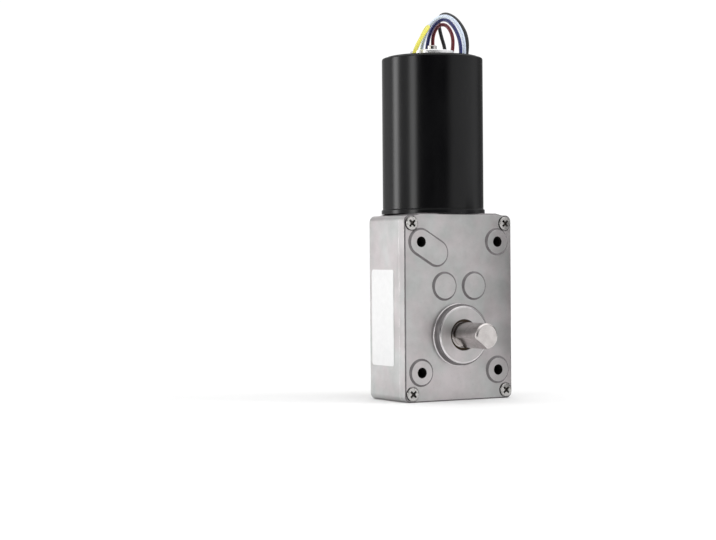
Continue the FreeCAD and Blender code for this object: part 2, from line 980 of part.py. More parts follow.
def motor_shaft():
    """The rotor's shaft: its tail shows above the rear cap, and its thin lower end carries the worm."""
    tail_z = holder_top_z + motor_shaft_rise
    return turned_z(
        [
            (0, worm_bottom_z - worm_seat_overrun),
            (worm_seat_radius, worm_bottom_z - worm_seat_overrun),
            (worm_seat_radius, worm_top_z),
            (motor_shaft_radius, worm_top_z),
            (motor_shaft_radius, tail_z),
            (0, tail_z),
        ]
    )


def slot_angle(number):
    """The angle of a stator tooth about the motor's axis."""
    return 360.0 * number / slot_count


def stator_core():
    """The stack of laminations: a round yoke with shoed teeth that point inwards."""
    top = stator_bottom_z + stator_height
    bore_radius = rotor_radius + air_gap
    yoke_radius = can_bore_radius - stator_yoke
    core = motor_ring(can_bore_radius, yoke_radius, stator_bottom_z, top)
    teeth = []
    half = slot_tooth_width / 2
    shoe = slot_shoe_width / 2
    for number in range(slot_count):
        stem = block(
            bore_radius, yoke_radius + slot_seat, motor_y - half, motor_y + half, stator_bottom_z, top
        )
        foot = block(
            bore_radius - slot_shoe_depth,
            bore_radius + slot_shoe_depth,
            motor_y - shoe,
            motor_y + shoe,
            stator_bottom_z,
            top,
        )
        tooth = stem.fuse(foot)
        teeth.append(tooth.rotate(Vector(0, motor_y, 0), Vector(0, 0, 1), slot_angle(number)))
    return core.fuse(teeth).cut(motor_rod(bore_radius, stator_bottom_z, top)).removeSplitter()


def stator_coils():
    """One wound coil around the stem of each stator tooth."""
    top = stator_bottom_z + stator_height
    inner_x = rotor_radius + air_gap + slot_shoe_depth + coil_gap
    half = slot_tooth_width / 2 + coil_slot_clearance
    full = half + coil_thickness
    outer_x = math.sqrt((can_bore_radius - stator_yoke) ** 2 - full**2) - coil_gap
    coils = []
    for number in range(slot_count):
        outer = block(
            inner_x,
            outer_x,
            motor_y - full,
            motor_y + full,
            stator_bottom_z - coil_thickness,
            top + coil_thickness,
        )
        inner = block(
            inner_x,
            outer_x,
            motor_y - half,
            motor_y + half,
            stator_bottom_z - coil_slot_clearance,
            top + coil_slot_clearance,
        )
        coil = outer.cut(inner)
        coils.append(coil.rotate(Vector(0, motor_y, 0), Vector(0, 0, 1), slot_angle(number)))
    return Part.makeCompound(coils)


def driver_board():
    """The round circuit board that the lead wires are soldered to."""
    return motor_ring(board_radius, board_hole_radius, board_bottom_z, board_top_z)


def side_label():
    """The blank white label on the housing's side."""
    start_y = seam_y + label_depth_start
    start_z = bottom_z + label_bottom
    side_x = -box_width / 2
    return block(
        side_x - label_thickness,
        side_x,
        start_y,
        start_y + label_width,
        start_z,
        start_z + label_height,
    )


def wire_route(places):
    """One wire's points, from where it stands on the driver board to where its insulation ends."""
    foot_x, foot_y = places["foot"]
    route = [Vector(foot_x, motor_y + foot_y, board_top_z)]
    for x, y, height in places["over_cap"]:
        route.append(Vector(x, motor_y + y, rear_cap_top_z + height))
    for level, group in ((rear_cap_top_z, "beside_can"), (bottom_z, "beside_box")):
        for angle, stand_off, height in places[group]:
            turn = math.radians(angle)
            reach = can_radius + stand_off
            route.append(
                Vector(reach * math.cos(turn), motor_y + reach * math.sin(turn), level + height)
            )
    rest_z = bottom_z + wire_radius + wire_rest_gap
    for x, y in places["on_floor"]:
        route.append(Vector(x, motor_y + y, rest_z))
    return route


def wire_path(points):
    """Straight runs joined by tangent arcs, and the arcs' radii."""
    edges = []
    radii = []
    start = points[0]
    for before, corner, after in zip(points, points[1:], points[2:]):
        back = (before - corner).normalize()
        ahead = (after - corner).normalize()
        shorter = min((before - corner).Length, (after - corner).Length)
        turn = math.pi - back.getAngle(ahead)
        leg = wire_bend_share * shorter
        radius = leg / math.tan(turn / 2)
        enter = corner + back * leg
        leave = corner + ahead * leg
        to_centre = (back + ahead).normalize()
        reach = radius / math.cos(turn / 2)
        middle = corner + to_centre * (reach - radius)
        edges.append(Part.LineSegment(start, enter).toShape())
        edges.append(Part.Arc(enter, middle, leave).toShape())
        radii.append(radius)
        start = leave
    edges.append(Part.LineSegment(start, points[-1]).toShape())
    return Part.Wire(edges), radii


def lead_wire(name, places):
    """One insulated lead wire, with a section of flats about its path."""
    route = wire_route(places)
    path, radii = wire_path(route)
    corners = []
    for side in range(wire_sides):
        turn = 2 * math.pi * side / wire_sides
        corners.append(
            route[0] + Vector(wire_radius * math.cos(turn), wire_radius * math.sin(turn), 0)
        )
    section = Part.makePolygon(corners + corners[:1])
    tube = path.makePipeShell([section], True, False)
    area = Part.Face(section).Area
    print(
        f"{name}: length {path.Length:.1f}, smallest radius {min(radii):.2f}, "
        f"volume over section times length {tube.Volume / (area * path.Length):.4f}, "
        f"radii {[round(radius, 1) for radius in radii]}"
    )
    return tube


def tinned_tips():
    """The bare tinned ends of the wires."""
    tips = []
    for places in wire_points.values():
        *_, before, end = wire_route(places)
        along = (end - before).normalize()
        tips.append(Part.makeCylinder(tip_radius, tip_length, end, along))
    return Part.makeCompound(tips)


def build():
    """Every node of the gear motor by name."""
    nodes = {
        "gearbox_housing": gearbox_housing(),
        "front_cover": front_cover(),
        "cover_screws": cover_screws(),
        "output_shaft": output_shaft(),
        "front_bush": bush_y(front_bush_radius, shaft_radius + running_clearance, boss_lip, seam_y),
        "rear_bush": bush_y(
            rear_bush_radius,
            rear_journal_radius + running_clearance,
            rear_bush_front_y(),
            rear_bush_front_y() + rear_bush_length,
        ),
        "thrust_washer": bush_y(
            thrust_washer_radius,
            shaft_radius + washer_play,
            seam_y + washer_play,
            seam_y + washer_play + thrust_washer_thickness,
        ),
        "motor_can": motor_can(),
        "motor_front_cap": motor_front_cap(),
        "motor_screws": motor_screws(),
        "motor_rear_cap": motor_rear_cap(),
        "rear_bearing_holder": rear_bearing_holder(),
        "front_motor_bearing": motor_bearing(front_bearing_z),
        "rear_motor_bearing": motor_bearing(holder_bottom_z),
        "motor_shaft": motor_shaft(),
        "rotor_core": motor_ring(
            rotor_core_radius, motor_shaft_radius, rotor_bottom_z, rotor_bottom_z + rotor_height
        ),
        "rotor_magnet": motor_ring(
            rotor_radius, rotor_core_radius, rotor_bottom_z, rotor_bottom_z + rotor_height
        ),
        "stator_core": stator_core(),
        "stator_coils": stator_coils(),
        "driver_board": driver_board(),
        "side_label": side_label(),
        "tinned_tips": tinned_tips(),
    }
    nodes.update(gear_train())
    nodes.update(axles())
    for name, places in wire_points.items():
        nodes[name] = lead_wire(name, places)
    return nodes


os.makedirs("parts", exist_ok=True)
for node_name, node_shape in build().items():
    assert node_shape.isValid(), node_name
    node_shape.exportStep(f"parts/{node_name}.step")
    print(f"{node_name}: {len(node_shape.Solids)} solids, {node_shape.Volume:.1f} mm3")
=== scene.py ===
import math

import bmesh
import bpy
import numpy as np
from mathutils import Matrix, Vector


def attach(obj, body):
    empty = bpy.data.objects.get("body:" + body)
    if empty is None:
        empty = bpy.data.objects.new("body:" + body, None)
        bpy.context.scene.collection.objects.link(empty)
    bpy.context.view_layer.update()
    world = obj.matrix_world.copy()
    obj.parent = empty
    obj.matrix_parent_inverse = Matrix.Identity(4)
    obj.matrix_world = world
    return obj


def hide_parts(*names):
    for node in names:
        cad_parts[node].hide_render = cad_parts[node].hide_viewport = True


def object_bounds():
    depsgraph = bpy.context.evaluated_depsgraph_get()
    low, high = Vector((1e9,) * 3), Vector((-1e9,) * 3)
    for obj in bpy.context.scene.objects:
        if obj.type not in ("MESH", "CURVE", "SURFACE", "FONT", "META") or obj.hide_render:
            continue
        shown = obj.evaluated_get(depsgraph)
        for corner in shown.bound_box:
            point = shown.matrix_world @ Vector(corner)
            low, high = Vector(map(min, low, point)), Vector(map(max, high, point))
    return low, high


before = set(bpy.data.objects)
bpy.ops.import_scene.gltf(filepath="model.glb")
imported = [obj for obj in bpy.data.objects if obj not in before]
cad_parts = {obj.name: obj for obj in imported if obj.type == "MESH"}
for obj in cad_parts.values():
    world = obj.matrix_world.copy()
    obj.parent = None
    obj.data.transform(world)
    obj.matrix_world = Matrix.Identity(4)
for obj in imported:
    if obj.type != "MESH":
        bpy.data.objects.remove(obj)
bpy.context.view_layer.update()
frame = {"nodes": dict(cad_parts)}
nodes = frame["nodes"]

# The camera stands to the left of the gear motor, level with the middle of the gearbox, and looks along
# the photograph's line of sight through a long lens.
MM = 0.001
sensor_width = 36.0
photo_width = 716
focal_pixels = 1765.0
camera_place = Vector((-306.0, -458.35, 24.4)) * MM
camera_yaw = math.radians(30.3)
camera_pitch = math.radians(-0.41)
camera_roll = math.radians(-0.42)

forward = Vector(
    (
        math.sin(camera_yaw) * math.cos(camera_pitch),
        math.cos(camera_yaw) * math.cos(camera_pitch),
        math.sin(camera_pitch),
    )
)
level_right = Vector((math.cos(camera_yaw), -math.sin(camera_yaw), 0.0))
level_up = level_right.cross(forward)
camera_right = math.cos(camera_roll) * level_right + math.sin(camera_roll) * level_up
camera_up = math.cos(camera_roll) * level_up - math.sin(camera_roll) * level_right
camera_data = bpy.data.cameras.new("camera")
camera_data.sensor_width = sensor_width
camera_data.lens = focal_pixels / photo_width * sensor_width
camera = bpy.data.objects.new("camera", camera_data)
turn = Matrix((camera_right, camera_up, -forward)).transposed().to_4x4()
camera.matrix_world = Matrix.Translation(camera_place) @ turn
bpy.context.scene.collection.objects.link(camera)
bpy.context.scene.camera = camera

# Lead wires. Five soft stranded wires stand on the driver board inside the motor, come out of two windows
# in its rear cap, loop over its end and hang down behind it to the surface that the gearbox stands on.
# Each is plastic over copper, stripped and tinned at its far end.
wire_diameter = 1.2 * MM
wire_bevel_steps = 5
wire_curve_steps = 16
wire_routes = {
    "black": [
        (11.8, 15.75, 80.4),
        (11.8, 15.75, 86.5),
        (13.5, 16.6, 95.1),
        (12.3, 20.6, 101.3),
        (10.7, 25.4, 104.1),
        (10.4, 29.8, 103.1),
        (12.6, 32.0, 98.4),
        (15.3, 32.3, 91.9),
        (14.73, 32.87, 79.2),
        (14.91, 33.8, 62.0),
        (14.92, 33.24, 35.0),
        (15.02, 33.01, 9.0),
        (15.62, 33.41, -8.0),
        (17.91, 35.64, -16.8),
        (22.6, 39.75, -19.9),
        (27.2, 44.95, -19.9),
        (30.0, 50.95, -19.9),
    ],
    "white": [
        (9.5, 13.45, 80.4),
        (9.5, 13.45, 85.4),
        (9.9, 13.4, 93.9),
        (9.0, 16.5, 99.9),
        (7.6, 21.0, 102.7),
        (6.1, 26.4, 101.5),
        (6.0, 31.2, 96.9),
        (6.7, 34.8, 91.4),
        (6.38, 37.46, 80.0),
        (6.71, 38.51, 62.0),
        (6.92, 37.92, 35.0),
        (6.97, 37.26, 9.0),
        (7.42, 37.63, -8.0),
        (8.89, 40.39, -16.8),
        (12.3, 46.15, -19.9),
        (15.4, 53.55, -19.9),
        (19.4, 60.25, -19.9),
    ],
    "blue": [
        (10.3, 16.55, 80.4),
        (10.3, 16.55, 85.4),
        (10.8, 16.8, 93.3),
        (9.9, 19.4, 99.1),
        (8.7, 23.4, 102.1),
        (7.8, 28.2, 100.5),
        (8.0, 32.1, 96.5),
        (8.8, 34.5, 91.2),
        (8.67, 36.37, 80.0),
        (8.92, 37.02, 62.0),
        (9.08, 36.39, 35.0),
        (9.28, 35.96, 9.0),
        (9.78, 36.38, -8.0),
        (11.5, 38.98, -16.8),
        (15.1, 44.35, -19.9),
        (19.2, 51.15, -19.9),
        (23.0, 57.95, -19.9),
    ],
    "red": [
        (9.9, 22.35, 80.4),
        (9.9, 22.35, 85.4),
        (11.3, 22.1, 93.0),
        (11.1, 22.4, 97.0),
        (10.4, 24.9, 100.3),
        (9.7, 28.9, 100.4),
        (9.5, 32.0, 96.9),
        (10.9, 33.4, 91.2),
        (11.08, 35.07, 80.0),
        (11.51, 35.63, 62.0),
        (11.58, 34.99, 35.0),
        (11.66, 34.57, 9.0),
        (12.09, 35.01, -8.0),
        (14.1, 37.63, -16.8),
        (18.5, 42.35, -19.9),
        (23.2, 48.35, -19.9),
        (26.4, 55.15, -19.9),
    ],
    "yellow": [
        (-10.3, 12.95, 80.4),
        (-10.3, 12.95, 85.4),
        (-9.0, 13.4, 89.7),
        (-5.4, 15.3, 94.0),
        (-0.1, 18.6, 98.5),
        (3.0, 25.6, 98.7),
        (4.2, 31.4, 95.2),
        (4.7, 35.9, 91.1),
        (4.01, 38.37, 80.0),
        (3.99, 39.29, 62.0),
        (4.31, 38.72, 35.0),
        (4.81, 38.2, 9.0),
        (5.22, 38.62, -8.0),
        (6.4, 41.41, -16.8),
        (9.4, 47.75, -19.9),
        (11.6, 55.35, -19.9),
        (15.2, 61.55, -19.9),
    ],
}
wire_colours = {
    "black": (0.008, 0.008, 0.01),
    "white": (0.66, 0.74, 0.87),
    "blue": (0.012, 0.018, 0.13),
    "red": (0.15, 0.006, 0.014),
    "yellow": (0.74, 0.68, 0.08),
}
strand_count = 7
strand_radius = 0.15 * MM
strand_ring = 0.3 * MM
strand_length = 4.0 * MM
strand_twist = 1.6
strand_rows = 16
strand_sides = 10
strand_taper = 0.07
merge_distance = 1e-7


class Socket:
    """A node's output, with Python's operators standing for Math nodes."""

    def __init__(self, nodes, socket):
        self.nodes = nodes
        self.socket = socket

    def math(self, operation, first, second):
        """A Math node on two values."""
        return self.nodes.node("ShaderNodeMath", {"operation": operation}, {0: first, 1: second})

    def __add__(self, other):
        return self.math("ADD", self, other)

    def __radd__(self, other):
        return self.math("ADD", other, self)

    def __sub__(self, other):
        return self.math("SUBTRACT", self, other)

    def __rsub__(self, other):
        return self.math("SUBTRACT", other, self)

    def __mul__(self, other):
        return self.math("MULTIPLY", self, other)

    def __rmul__(self, other):
        return self.math("MULTIPLY", other, self)

    def above(self, limit):
        """1 where the value is over the limit, 0 elsewhere."""
        return self.math("GREATER_THAN", self, limit)


class Nodes:
    """A node tree, with one method that adds any node."""

    def __init__(self, tree):
        self.tree = tree

    def node(self, kind, settings=None, values=None, output=0):
        """Any node: its settings are set first, then the values or links of its sockets."""
        new = self.tree.nodes.new(kind)
        for setting, value in (settings or {}).items():
            if setting == "stops":
                elements = new.color_ramp.elements
                while len(elements) < len(value):
                    elements.new(0.5)
                for element, (place, colour) in zip(elements, value):
                    element.position = place
                    element.color = (*colour, 1.0)
            else:
                setattr(new, setting, value)
        for socket, value in (values or {}).items():
            self.feed(new.inputs[socket], value)
        return Socket(self, new.outputs[output])

    def feed(self, target, value):
        """A link where the value is another node's output, and a plain value elsewhere."""
        if isinstance(value, Socket):
            self.tree.links.new(value.socket, target)
        else:
            target.default_value = value

    def ramp(self, value, *stops):
        """Colours between stops, each a place from 0 to 1 and a colour."""
        return self.node("ShaderNodeValToRGB", {"stops": stops}, {0: value})

    def mix(self, share, first, second):
        """The first colour where the share is 0, the second where it is 1."""
        values = {0: share, 6: first, 7: second}
        return self.node("ShaderNodeMix", {"data_type": "RGBA"}, values, output=2)


class Finish(Nodes):
    """A material on a Principled shader, with the nodes that its patterns need."""

    def __init__(self, name, **constants):
        self.material = bpy.data.materials.new(name)
        self.material.use_nodes = True
        super().__init__(self.material.node_tree)
        self.shader = self.tree.nodes["Principled BSDF"]
        self.wire(**constants)

    def wire(self, **sockets):
        """Feeds the Principled shader's sockets by name."""
        for socket, value in sockets.items():
            self.feed(self.shader.inputs[socket.replace("_", " ")], value)
        return self.material

    def place(self):
        """The point on the piece, in metres, in the gear motor's own frame."""
        return self.node("ShaderNodeTexCoord", output="Object")

    def stretched(self, scale):
        """The point on the piece, stretched for a pattern that runs one way."""
        return self.node("ShaderNodeMapping", None, {"Vector": self.place(), "Scale": scale})

    def noise(self, scale, detail=3.0, roughness=0.5, vector=None):
        """Cloudy noise from 0 to 1, with about scale blobs in a metre."""
        values = {
            "Vector": vector or self.place(),
            "Scale": scale,
            "Detail": detail,
            "Roughness": roughness,
        }
        return self.node("ShaderNodeTexNoise", None, values)

    def bump(self, height, distance, strength):
        """A normal that follows a height from 0 to 1 over a distance in metres."""
        values = {"Height": height, "Distance": distance, "Strength": strength}
        return self.node("ShaderNodeBump", None, values)


def surface(name, grids, material, sharp=30.0):
    """One object from grids of points, each an array of rows by columns by three.

    The columns of a grid close into a ring, and rows that shrink to a point close the piece. Points that
    meet are merged, faces point outwards, and edges that turn by more than sharp degrees stay crisp.
    """
    points = []
    quads = []
    first = 0
    for grid in grids:
        rows, columns = grid.shape[:2]
        row, column = np.meshgrid(np.arange(rows - 1), np.arange(columns), indexing="ij")
        after = (column + 1) % columns
        corners = (
            row * columns + column,
            row * columns + after,
            (row + 1) * columns + after,
            (row + 1) * columns + column,
        )
        quads.append(np.stack(corners, axis=-1).reshape(-1, 4) + first)
        points.append(grid.reshape(-1, 3))
        first += rows * columns
    mesh = bpy.data.meshes.new(name)
    mesh.from_pydata(np.concatenate(points).tolist(), [], np.concatenate(quads).tolist())
    shape = bmesh.new()
    shape.from_mesh(mesh)
    bmesh.ops.remove_doubles(shape, verts=shape.verts, dist=merge_distance)
    bmesh.ops.recalc_face_normals(shape, faces=shape.faces)
    shape.to_mesh(mesh)
    shape.free()
    mesh.shade_smooth()
    mesh.set_sharp_from_angle(angle=math.radians(sharp))
    mesh.materials.append(material)
    piece = bpy.data.objects.new(name, mesh)
    bpy.context.scene.collection.objects.link(piece)
    return piece


def stand_for(piece, node, body):
    """The piece takes a CAD node's place and moves with its body."""
    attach(piece, body)
    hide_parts(node)


def wire_insulation(colour_name):
    """Soft plastic: slightly uneven colour, faint dust and a dull gloss."""
    finish = Finish(f"wire_{colour_name}", Coat_Weight=0.12, Coat_Roughness=0.3)
    base = wire_colours[colour_name]
    dusty = tuple(0.9 * part + 0.02 for part in base)
    cloud = finish.noise(900.0)
    fine = finish.noise(6000.0, detail=2.0)
    return finish.wire(
        Base_Color=finish.mix(cloud * 0.5, (*base, 1.0), (*dusty, 1.0)),
        Roughness=0.3 + 0.2 * cloud,
        Normal=finish.bump(fine, 0.02 * MM, 0.4),
    )


def tinned_strands():
    """Copper strands dipped in solder: silvery, with duller clouds."""
    finish = Finish("tinned_strands", Metallic=1.0)
    cloud = finish.noise(2500.0)
    return finish.wire(
        Base_Color=finish.ramp(cloud, (0.35, (0.56, 0.55, 0.53)), (0.7, (0.8, 0.79, 0.77))),
        Roughness=0.22 + 0.2 * cloud,
    )


def stripped_end(end, along):
    """Round strands side by side, all but one twisted about the middle one.

    A strand's centre goes round the ring by the twist times the share of its length. Over the last of
    its length its radius falls from full to nothing along a quarter circle, and its first row is a point.
    """
    side = along.orthogonal().normalized()
    other = along.cross(side)
    share = np.concatenate([[0.0], np.linspace(0.0, 1.0, strand_rows)])[:, None]
    around = np.linspace(0.0, 2 * np.pi, strand_sides, endpoint=False)[None, :]
    past_taper = np.clip((share - 1.0 + strand_taper) / strand_taper, 0.0, 1.0)
    shrink = np.sqrt(1.0 - past_taper**2)
    shrink[0] = 0.0
    grids = []
    for strand in range(strand_count):
        ring = 0.0 if strand == 0 else strand_ring
        angle = 2 * np.pi * strand / (strand_count - 1) + strand_twist * share
        across = ring * np.cos(angle) + strand_radius * shrink * np.cos(around)
        up = ring * np.sin(angle) + strand_radius * shrink * np.sin(around)
        out = strand_length * share + 0 * around
        grids.append(
            np.array(end)
            + across[..., None] * np.array(side)
            + up[..., None] * np.array(other)
            + out[..., None] * np.array(along)
        )
    return grids


tin = tinned_strands()
for colour_name, route in wire_routes.items():
    points = [Vector(place) * MM for place in route]
    curve = bpy.data.curves.new(f"lead_{colour_name}", "CURVE")
    curve.dimensions = "3D"
    curve.bevel_depth = wire_diameter / 2
    curve.bevel_resolution = wire_bevel_steps
    curve.resolution_u = wire_curve_steps
    curve.use_fill_caps = True
    spline = curve.splines.new("NURBS")
    spline.points.add(len(points) - 1)
    for control, point in zip(spline.points, points):
        control.co = (*point, 1.0)
    spline.order_u = 3
    spline.use_endpoint_u = True
    curve.materials.append(wire_insulation(colour_name))
    wire = bpy.data.objects.new(f"lead_{colour_name}", curve)
    bpy.context.scene.collection.objects.link(wire)
    stand_for(wire, f"wire_{colour_name}", "root")
    strands = stripped_end(points[-1], (points[-1] - points[-2]).normalized())
    tip = surface(f"stripped_end_{colour_name}", strands, tin)
    stand_for(tip, "tinned_tips", "root")

# Gearbox castings. The housing and the front cover are pressure die-cast zinc alloy, tumbled but not
# painted: a fine grain, cloudy grey patches with a faint pink or green cast, edges lighter, partly rubbed
# bright and partly a painted highlight, slopes and the boss's wall darkened with painted shade, and tapped
# holes near black with painted shade.
edge_width = 0.12 * MM
rim_width = 0.3 * MM
edge_segments = 3
crisp_angle = 32.0
flat_angle = 0.5
copy_merge_distance = 1e-6
hole_places = [(x, z) for x in (-14.25, 14.25) for z in (-11.45, 29.05)]
hole_radius = 1.65 * MM
hole_margin = 1.05
pad_front = 2.05 * MM
boss_lip_ring = (8.79 * MM, 0.0)
boss_shoulder_ring = (9.57 * MM, 0.78 * MM)
boss_foot_ring = (9.57 * MM, 2.65 * MM)
ring_reach = 0.15 * MM
slope_limits = (0.25, 0.95)
cast_face, rubbed_highlight_edge, shaded_slope, tapped_bore = range(4)
# The boss's lip and foot rings and the other crisp edges are lighter, partly rubbed and partly a painted
# highlight; the boss's shoulder is darkened with painted shade.
easing_steps = [
    (rim_width, rubbed_highlight_edge, [boss_lip_ring, boss_foot_ring]),
    (edge_width, shaded_slope, [boss_shoulder_ring]),
    (edge_width, rubbed_highlight_edge, []),
]


def die_cast_zinc():
    """Cloudy grey with two slow tints, dark pits, a fine grain and flow marks that run upwards."""
    finish = Finish("die_cast_zinc", Metallic=0.93)
    cloud = finish.noise(130.0, detail=4.0, roughness=0.6)
    tint = finish.noise(170.0, detail=3.0, vector=finish.stretched((1.0, 1.0, 0.7)))
    grain = finish.noise(5200.0, detail=3.0, roughness=0.6)
    pit = finish.noise(2300.0, detail=2.0).above(0.68)
    flow = finish.noise(420.0, detail=3.0, vector=finish.stretched((1.0, 1.0, 0.25)))
    grey = finish.ramp(
        cloud,
        (0.32, (0.37, 0.36, 0.36)),
        (0.5, (0.48, 0.465, 0.465)),
        (0.68, (0.59, 0.57, 0.575)),
    )
    cast = finish.ramp(
        tint,
        (0.36, (0.475, 0.5, 0.49)),
        (0.5, (0.51, 0.495, 0.495)),
        (0.64, (0.55, 0.5, 0.51)),
    )
    return finish.wire(
        Base_Color=finish.mix(pit * 0.35, finish.mix(0.5, grey, cast), (0.3, 0.3, 0.3, 1.0)),
        Roughness=0.27 + 0.16 * cloud + 0.06 * grain,
        Normal=finish.bump(0.6 * grain + 0.8 * flow - 0.7 * pit, 0.025 * MM, 0.5),
    )


def rubbed_zinc_and_highlight():
    """The same metal where tumbling has smoothed it: glossier, with a faint grain, and lighter than the
    cast faces, partly from wear and partly as a painted highlight.
    """
    finish = Finish("rubbed_zinc_and_highlight", Metallic=1.0)
    cloud = finish.noise(260.0)
    return finish.wire(
        Base_Color=finish.ramp(cloud, (0.35, (0.6, 0.58, 0.585)), (0.7, (0.74, 0.72, 0.725))),
        Roughness=0.18 + 0.12 * cloud,
    )


def painted_shade_slope():
    """The same metal on slopes and on the boss's wall and shoulder, grey and dull: painted shade."""
    finish = Finish("painted_shade_slope", Metallic=0.2)
    cloud = finish.noise(420.0)
    return finish.wire(
        Base_Color=finish.ramp(cloud, (0.35, (0.13, 0.12, 0.123)), (0.7, (0.19, 0.178, 0.182))),
        Roughness=0.5 + 0.2 * cloud,
    )


def painted_shade_bore():
    """Near black threads: painted shade deep in the tapped holes."""
    finish = Finish("painted_shade_bore", Specular_IOR_Level=0.1)
    turns = finish.noise(1600.0, detail=1.0, vector=finish.stretched((0.1, 1.0, 0.1)))
    return finish.wire(
        Base_Color=finish.ramp(turns, (0.4, (0.006, 0.005, 0.005)), (0.6, (0.02, 0.018, 0.017))),
        Roughness=0.7 + 0.2 * turns,
    )


def on_boss_wall(place):
    """Whether a point lies on the round wall of the output boss."""
    radius, foot = boss_foot_ring
    return place.y < foot and abs(math.hypot(place.x, place.z) - radius) < ring_reach


def round_boss(edge, *rings):
    """Whether an edge runs along one of the output boss's rings, each a radius and a depth."""
    return any(
        all(
            abs(math.hypot(vert.co.x, vert.co.z) - radius) < ring_reach
            and abs(vert.co.y - depth) < ring_reach
            for vert in edge.verts
        )
        for radius, depth in rings
    )


def in_mounting_hole(place):
    """Whether a point lies in one of the four tapped holes, behind the front of the pads round them."""
    reach = hole_radius * hole_margin
    return place.y > pad_front + edge_width and any(
        math.hypot(place.x - x * MM, place.z - z * MM) < reach for x, z in hole_places
    )


def eased_copy(node, body, materials):
    """A CAD node's shape, its triangles merged and its sharp edges rounded.

    The materials are those of plain faces, rounded edges (lighter, partly a painted highlight), slopes and
    the boss's wall (darkened with painted shade), and tapped holes (near black with painted shade).
    """
    mesh = nodes[node].data.copy()
    mesh.name = f"{node}_eased"
    mesh.materials.clear()
    for material in materials:
        mesh.materials.append(material)
    shape = bmesh.new()
    shape.from_mesh(mesh)
    bmesh.ops.remove_doubles(shape, verts=shape.verts, dist=copy_merge_distance)
    bmesh.ops.dissolve_limit(
        shape, angle_limit=math.radians(flat_angle), verts=shape.verts, edges=shape.edges
    )
    bmesh.ops.recalc_face_normals(shape, faces=shape.faces)
    for face in shape.faces:
        middle = face.calc_center_median()
        sloping = slope_limits[0] < abs(face.normal.y) < slope_limits[1]
        # Faces in the tapped holes take a near-black finish, which is painted shade.
        if in_mounting_hole(middle):
            face.material_index = tapped_bore
        # Slopes and the boss's wall take the darker finish, which is painted shade.
        elif sloping or on_boss_wall(middle):
            face.material_index = shaded_slope
        else:
            face.material_index = cast_face
    for width, finish, rings in easing_steps:
        sharp = [
            edge
            for edge in shape.edges
            if edge.calc_face_angle(0.0) > math.radians(crisp_angle)
            and (not rings or round_boss(edge, *rings))
        ]
        if sharp:
            bmesh.ops.bevel(
                shape,
                geom=sharp,
                offset=width,
                offset_type="OFFSET",
                segments=edge_segments,
                profile=0.5,
                affect="EDGES",
                clamp_overlap=True,
                material=finish,
            )
    shape.to_mesh(mesh)
    shape.free()
    mesh.shade_smooth()
    mesh.set_sharp_from_angle(angle=math.radians(crisp_angle))
    piece = bpy.data.objects.new(f"{node}_eased", mesh)
    bpy.context.scene.collection.objects.link(piece)
    weighted = piece.modifiers.new("flat_faces_stay_flat", "WEIGHTED_NORMAL")
    weighted.keep_sharp = True
    stand_for(piece, node, body)


zinc_finishes = [die_cast_zinc(), rubbed_zinc_and_highlight(), painted_shade_slope(), painted_shade_bore()]
eased_copy("gearbox_housing", "root", zinc_finishes)
eased_copy("front_cover", "root", zinc_finishes)

# Output shaft. Ground steel bar with a flat milled along its exposed end, a groove that sheds dust at the
# boss's mouth, and a shoulder that the output gear is pressed against.
shaft_columns = 120
shaft_radius = 4.0
shaft_end_radius = 3.5
flat_distance = 3.0 * MM
flat_bearing = math.radians(231.0)
bend_steps = 5
support_share = 0.3
least_cosine = 1e-6
shaft_profile = [
    (0.0, -12.8, 0.0),
    (shaft_end_radius, -12.8, 0.12),
    (shaft_radius, -12.3, 0.12),
    (shaft_radius, 0.0, 0.0),
    (3.6, 0.0, 0.0),
]
journal_profile = [
    (3.6, 0.0, 0.0),
    (3.6, 0.8, 0.0),
    (shaft_radius, 0.8, 0.1),
    (shaft_radius, 9.65, 0.0),
    (5.0, 9.65, 0.1),
    (5.0, 19.95, 0.1),
    (3.0, 19.95, 0.0),
    (3.0, 23.35, 0.2),
    (0.0, 23.35, 0.0),
]


def eased(corners):
    """An outline in metres from corners (a, b, ease) in millimetres.

    A corner with an ease gives way to a curve that leaves one side and joins the other at that distance:
    start (1 - t)^2 + 2 corner t (1 - t) + end t^2. A point a little further out on each side keeps the
    flats beside it flat when they are shaded smooth.
    """
    places = np.array([corner[:2] for corner in corners]) * MM
    outline = []
    for number, (place, corner) in enumerate(zip(places, corners)):
        ease = corner[2] * MM
        if not ease:
            outline.append(place[None, :])
            continue
        before = places[number - 1] - place
        after = places[(number + 1) % len(places)] - place
        before = before / np.linalg.norm(before) * ease
        after = after / np.linalg.norm(after) * ease
        share = np.linspace(0.0, 1.0, bend_steps)[:, None]
        bend = (place + before) * (1 - share) ** 2 + 2 * place * share * (1 - share)
        bend = bend + (place + after) * share**2
        outline.append((place + before * (1 + support_share))[None, :])
        outline.append(bend)
        outline.append((place + after * (1 + support_share))[None, :])
    return np.concatenate(outline)


def turned(outline, centre, axis, angles, flat=None):
    """An outline of (radius, height) points carried round an axis.

    At an angle the point is centre + radius (cos angle, sin angle) + height along the axis. A flat cuts
    the radius back to its distance over the cosine of the angle from the flat's own bearing.
    """
    radius = np.broadcast_to(outline[:, :1], (len(outline), len(angles)))
    if flat:
        distance, bearing = flat
        facing = np.maximum(np.cos(angles - bearing), least_cosine)
        radius = np.minimum(radius, distance / facing)
    height = np.broadcast_to(outline[:, 1:], radius.shape)
    first = radius * np.cos(angles)
    second = radius * np.sin(angles)
    if axis == "y":
        return np.stack([centre[0] + first, centre[1] + height, centre[2] + second], axis=-1)
    return np.stack([centre[0] + first, centre[1] + second, centre[2] + height], axis=-1)


def full_circle(columns):
    """Even angles round a circle."""
    return np.linspace(0.0, 2 * np.pi, columns, endpoint=False)


